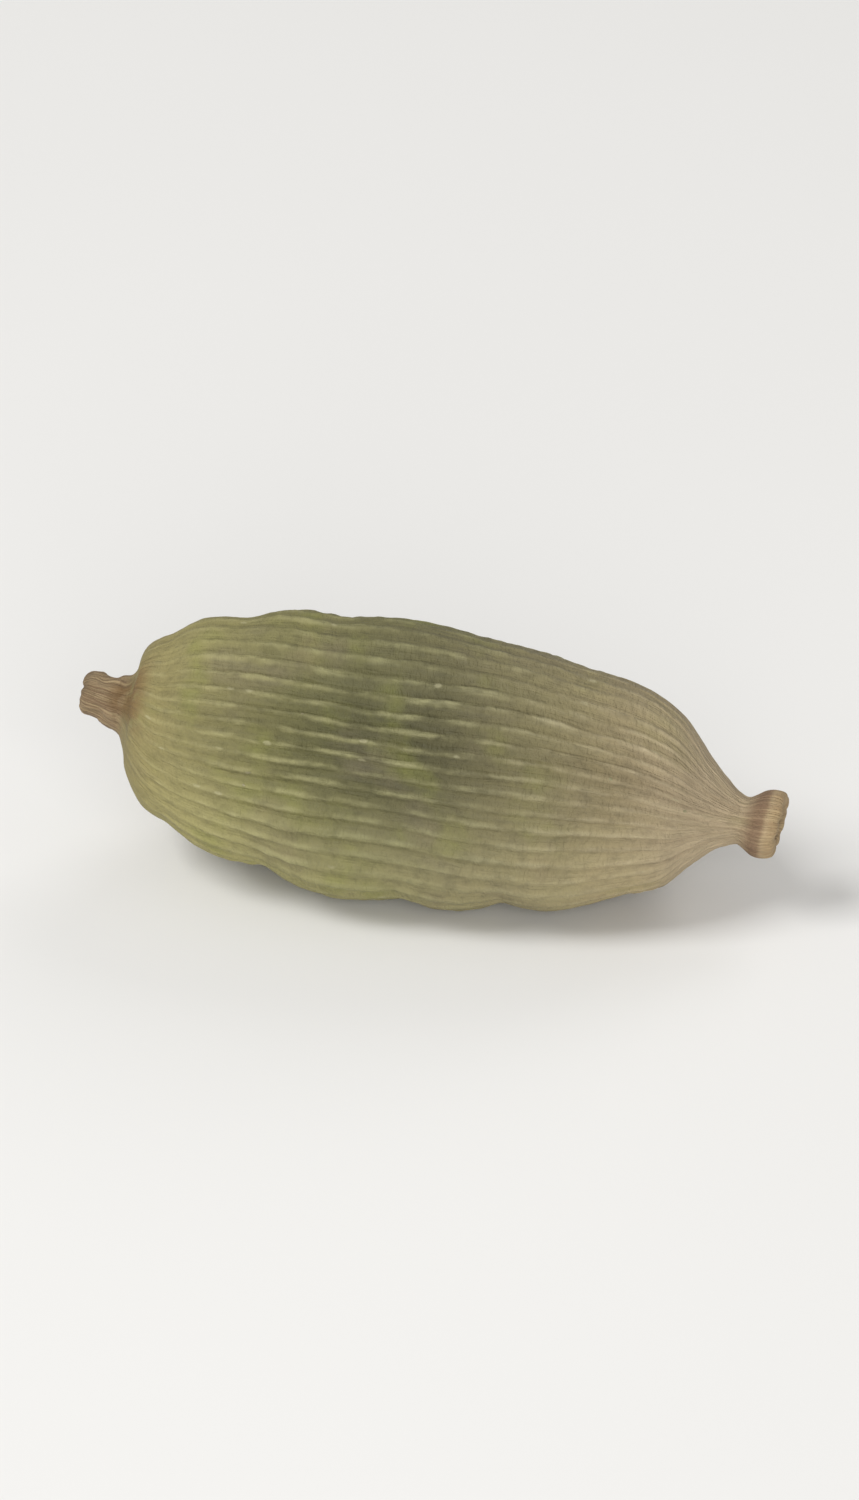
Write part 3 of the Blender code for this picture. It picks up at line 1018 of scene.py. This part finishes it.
def beak_shade(tree, shade, fibres):
    """The waist's painted shade where the beak's share is high and the rim's is low, then the
    rim's colour by its own share, then the tube's dark brown deepened by painted shade."""
    beak, rim = share_of(tree, "beak"), share_of(tree, "rim")
    waist = product(tree, beak, remap(tree, rim, WAIST_END, (1.0, 0.0)), BEAK_STRENGTH)
    shade = mix(tree, waist, shade, mix(tree, fibres, WAIST_PAINTED_SHADE_STREAK, WAIST_PAINTED_SHADE))
    rim_shade = mix(tree, fibres, RIM_STREAK, RIM_PALE)
    shade = mix(tree, product(tree, rim, BEAK_STRENGTH), shade, rim_shade)
    return mix(tree, share_of(tree, "tube"), shade, TUBE_DARK_WITH_PAINTED_SHADE)


print("the tube as light:", np.round(TUBE_DARK_WITH_PAINTED_SHADE[:3], 3))

# %% [markdown]
# ## The husk's finish
# The skin is dry and matt. Pale beads of scurf sit on the crests and a few brown freckles lie
# anywhere. The fibres and their cross marks are also a shallow relief, and they are a little
# rougher than what lies between them, so the light breaks up as on dry grass.

# %% The husk's material
SCURF = colour(190, 184, 150)
FRECKLE = colour(92, 70, 46)
FRECKLES = {"Spacing": 2.1 * MM, "Size": 0.17 * MM, "Share": 0.07}
FRECKLE_STRENGTH = 0.60
BEADS = {"Spacing": 0.45 * MM, "Size": 0.09 * MM, "Share": 0.22}
BEAD_SQUEEZE = (0.60, 1.0, 1.0)
BEAD_CREST = (0.25, 0.85)
BEAD_STRENGTH = 0.30
HUSK_FIBRES = {"Width": 0.10 * MM, "Marks": 0.60}
HUSK_ROUGHNESS = (0.60, 0.78)
HUSK_SPECULAR = 0.30
FIBRE_DEPTH = 0.03 * MM


def principled(name):
    """A new material with its network and its shader."""
    material = bpy.data.materials.new(name)
    material.use_nodes = True
    return material, material.node_tree, material.node_tree.nodes["Principled BSDF"]


def speckled(tree, shade, straight, solid):
    """Beads, drawn out along the ribs and only on their crests, and freckles anywhere."""
    drawn_out = scaled(tree, straight, BEAD_SQUEEZE)
    beads = effect(tree, SPECKS, drawn_out, **BEADS)["Specks"]
    on_crest = remap(tree, share_of(tree, "rib_crest"), BEAD_CREST, (0.0, BEAD_STRENGTH))
    shade = mix(tree, product(tree, beads, on_crest), shade, SCURF)
    freckles = effect(tree, SPECKS, solid, **FRECKLES)["Specks"]
    return mix(tree, product(tree, freckles, FRECKLE_STRENGTH), shade, FRECKLE)


def husk_material():
    """The skin's finish: husk, ends and specks as its colour, a roughness that follows the
    fibres, and fibres with cross marks as fine grooves."""
    material, tree, shader = principled("dried_husk")
    along = share_of(tree, "along")
    straight = place(tree, "Attribute", {}, attribute_name="straight").outputs["Vector"]
    solid = object_place(tree)
    grain = effect(tree, FIBRES, straight, **HUSK_FIBRES)
    fibres = grain["Fibres"]
    shade = husk_shade(tree, along, straight, solid, fibres)
    shade = stalk_shade(tree, shade, along, straight, solid, fibres)
    shade = beak_shade(tree, shade, fibres)
    shade = speckled(tree, shade, straight, solid)
    bump_values = {"Height": grain["Height"], "Strength": 1.0, "Distance": FIBRE_DEPTH}
    bump = place(tree, "Bump", bump_values, invert=True)
    roughness = remap(tree, fibres, (0.0, 1.0), HUSK_ROUGHNESS)
    shader.inputs["Specular IOR Level"].default_value = HUSK_SPECULAR
    feed(tree, shader, {"Base Color": shade, "Roughness": roughness, "Normal": bump.outputs["Normal"]})
    return material


pod_skin.data.materials.append(husk_material())
print("nodes in the husk's finish:", len(pod_skin.data.materials[0].node_tree.nodes))

# %% [markdown]
# ## Scurf
# A few pale flakes of dry skin cling to the ribs. Specks in the colour are enough for most,
# but larger ones catch the light at their edges, so they are thin domes, each turned with its
# rib. The grid of the skin gives their places and the directions of the surface there.

# %% Directions of the skin
def skin_directions(points):
    """Unit directions along a rib, across it and out of the skin, by central differences."""
    ahead = np.gradient(points, axis=0)
    across = np.roll(points, -1, axis=1) - np.roll(points, 1, axis=1)
    ahead = ahead / np.linalg.norm(ahead, axis=-1, keepdims=True)
    out = np.cross(across, ahead)
    out = out / np.linalg.norm(out, axis=-1, keepdims=True)
    return ahead, np.cross(ahead, out), out


print("directions for each point:", len(skin_directions(skin_points)))

# %% Domes of the flakes
FLAKES = 16
FLAKE_DRAW = 51
FLAKE_SIZES = (0.055 * MM, 0.120 * MM)
FLAKE_SLIMNESS = (0.40, 0.70)
FLAKE_STRETCH = (0.12, 0.80)
FLAKE_THICKNESS = 0.07
FLAKE_SINK = 0.10
FLAKE_SIDES = 10
FLAKE_RINGS = (0.55, 0.92, 1.0)
FLAKE_HEIGHTS = (0.95, 0.45, -0.6)
EDGE_WAVES = ((2, 0.20), (3, 0.15))


def dome_rings(draw, slim):
    """(a, b, h) of the rings of each dome from the top down: share * edge * cosine, share *
    edge * slimness * sine, and height. The edge is 1 plus waves of two and three crests."""
    angle = TURN * np.arange(FLAKE_SIDES) / FLAKE_SIDES
    edge = 1.0
    for crests, size in EDGE_WAVES:
        edge = edge + size * np.sin(crests * angle + draw.uniform(0, TURN, (len(slim), 1)))
    rings_of_one = [
        (share * edge * np.cos(angle), share * edge * slim * np.sin(angle), height + 0.0 * edge)
        for share, height in zip(FLAKE_RINGS, FLAKE_HEIGHTS)
    ]
    return (np.concatenate(part, axis=1)[..., None] for part in zip(*rings_of_one))


def flake_domes(points):
    """Vertices of the domes: at each drawn place p, p + size * (a * ahead + b * across +
    thickness * h * out), where (a, b, h) runs over the rings of one dome, closed by hubs."""
    draw = np.random.default_rng(FLAKE_DRAW)
    low, high = (int(share * RINGS) for share in FLAKE_STRETCH)
    ring = draw.integers(low, high, FLAKES)
    crest = draw.integers(0, RIBS, FLAKES) * POINTS_PER_RIB + draw.integers(-1, 2, FLAKES)
    ahead, across, out = (part[ring, crest][:, None] for part in skin_directions(points))
    size = draw.uniform(*FLAKE_SIZES, FLAKES)[:, None, None]
    a, b, h = dome_rings(draw, draw.uniform(*FLAKE_SLIMNESS, FLAKES)[:, None])
    base = points[ring, crest][:, None]
    domes = base + size * (a * ahead + b * across + FLAKE_THICKNESS * h * out)
    top = base + size * FLAKE_THICKNESS * out
    bottom = base - size * (FLAKE_THICKNESS + FLAKE_SINK) * out
    return np.concatenate([domes, top, bottom], axis=1)


domes = flake_domes(skin_points)
print("points of one flake:", domes.shape[1])

# %% The flakes as one piece
scurf_faces = [
    [index + number * domes.shape[1] for index in face]
    for number in range(FLAKES)
    for face in ring_faces(len(FLAKE_RINGS), FLAKE_SIDES)
]
scurf = new_piece("scurf", domes.reshape(-1, 3), scurf_faces)
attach(scurf, "root")
print("flakes:", FLAKES, "faces:", len(scurf.data.polygons))

# %% The flakes' material
SCURF_DARK = colour(124, 119, 88)
SCURF_PALE = colour(150, 144, 113)
SCURF_AGED = (colour(138, 127, 94), 4.0 * MM, 0.50, 0.50)
SCURF_FIBRES = {"Width": 0.04 * MM, "Marks": 0.50}
SCURF_ROUGHNESS = (0.6, 0.8)


def scurf_material():
    """Pale dry skin: two shades by a fine grain, and an older one in blotches."""
    material, tree, shader = principled("dry_scurf")
    where = object_place(tree)
    grain = effect(tree, FIBRES, where, **SCURF_FIBRES)["Fibres"]
    shade = patched(tree, mix(tree, grain, SCURF_DARK, SCURF_PALE), where, SCURF_AGED)
    roughness = remap(tree, grain, (0.0, 1.0), SCURF_ROUGHNESS)
    feed(tree, shader, {"Base Color": shade, "Roughness": roughness})
    return material


scurf.data.materials.append(scurf_material())
print("nodes in the scurf's finish:", len(scurf.data.materials[0].node_tree.nodes))

# %% [markdown]
# ## Floor and light
# The pod lies on a plain pale floor in soft studio light. A lamp from the upper left rakes
# across the ribs and shows their relief, a low one in front opens the shadows, a weak one
# lights the back, and the pale surroundings do the rest. The floor is a wide disc, so that it
# looks the same from every side.

# %% Floor
FLOOR_RADIUS = 1.2
FLOOR_GAP = 0.01 * MM
FLOOR_SIDES = 96
FLOOR_DARK = (0.79, 0.785, 0.77, 1.0)
FLOOR_PALE = (0.81, 0.805, 0.79, 1.0)
FLOOR_ROUGHNESS = 0.8
FLOOR_CLOUDS = {"Scale": 30.0, "Detail": 2.0}


def disc(radius, height):
    """Points of a level ring: radius * cosine and radius * sine of evenly spread angles."""
    angle = TURN * np.arange(FLOOR_SIDES) / FLOOR_SIDES
    return np.column_stack([radius * np.cos(angle), radius * np.sin(angle), height + 0.0 * angle])


def floor_material():
    """Pale, matt card with the faintest clouding."""
    material, tree, shader = principled("pale_floor")
    cloud = place(tree, "TexNoise", {"Vector": object_place(tree), **FLOOR_CLOUDS}).outputs["Fac"]
    shade = mix(tree, cloud, FLOOR_DARK, FLOOR_PALE)
    feed(tree, shader, {"Base Color": shade, "Roughness": FLOOR_ROUGHNESS})
    return material


floor = new_piece("floor", disc(FLOOR_RADIUS, -FLOOR_GAP), [list(range(FLOOR_SIDES))])
floor.data.materials.append(floor_material())
print("floor is wide in mm:", round(2 * FLOOR_RADIUS / MM))

# %% Lamps and surroundings
LAMPS = (
    ("key_lamp", (-0.22, -0.12, 0.30), 0.18, 0.92),
    ("fill_lamp", (0.12, -0.34, 0.11), 0.30, 1.08),
    ("back_lamp", (0.10, 0.30, 0.22), 0.20, 0.30),
)
SKY_COLOUR = (1.0, 0.985, 0.96, 1.0)
SKY_STRENGTH = 0.36


def add_lamp(name, where, size, power):
    """A square area lamp that looks at the pod."""
    data = bpy.data.lights.new(name, "AREA")
    data.size = size
    data.energy = power
    lamp = bpy.data.objects.new(name, data)
    lamp.location = where
    lamp.rotation_euler = (-Vector(where)).to_track_quat("-Z", "Y").to_euler()
    bpy.context.scene.collection.objects.link(lamp)


for lamp in LAMPS:
    add_lamp(*lamp)

world = bpy.data.worlds.new("pale_room")
world.use_nodes = True
sky = world.node_tree.nodes["Background"]
sky.inputs["Color"].default_value = SKY_COLOUR
sky.inputs["Strength"].default_value = SKY_STRENGTH
bpy.context.scene.world = world
bpy.context.scene.view_settings.view_transform = "Standard"
print("lamps:", [lamp[0] for lamp in LAMPS])

# %% [markdown]
# ## Camera
# The pod is seen from 30 degrees above, turned by 12 degrees, through a long lens that keeps
# its two ends in proportion. The distance follows from how much of the picture's width the pod
# should fill.

# %% Camera
AZIMUTH = math.radians(12.0)
ELEVATION = math.radians(30.0)
LENS = 135.0
SENSOR = 36.0
PICTURE = (859, 1500)
POD_SHARE_OF_WIDTH = 0.84
NEAREST_SHARE = 0.05
FARTHEST = 10.0

camera_data = bpy.data.cameras.new("camera")
camera_data.lens = LENS
camera_data.sensor_width = SENSOR
camera = bpy.data.objects.new("camera", camera_data)
bpy.context.scene.collection.objects.link(camera)
middle = Vector((0.5 * (cad_low + cad_high)).tolist())
back = Vector((
    math.sin(AZIMUTH) * math.cos(ELEVATION),
    -math.cos(AZIMUTH) * math.cos(ELEVATION),
    math.sin(ELEVATION),
))
seen_width = (cad_high[0] - cad_low[0]) / POD_SHARE_OF_WIDTH
distance = seen_width * PICTURE[1] / PICTURE[0] * LENS / SENSOR
camera.location = middle + back * distance
camera.rotation_euler = (-back).to_track_quat("-Z", "Y").to_euler()
camera_data.clip_start = NEAREST_SHARE * distance
camera_data.clip_end = FARTHEST
bpy.context.scene.camera = camera
print("camera distance in mm:", round(distance / MM))
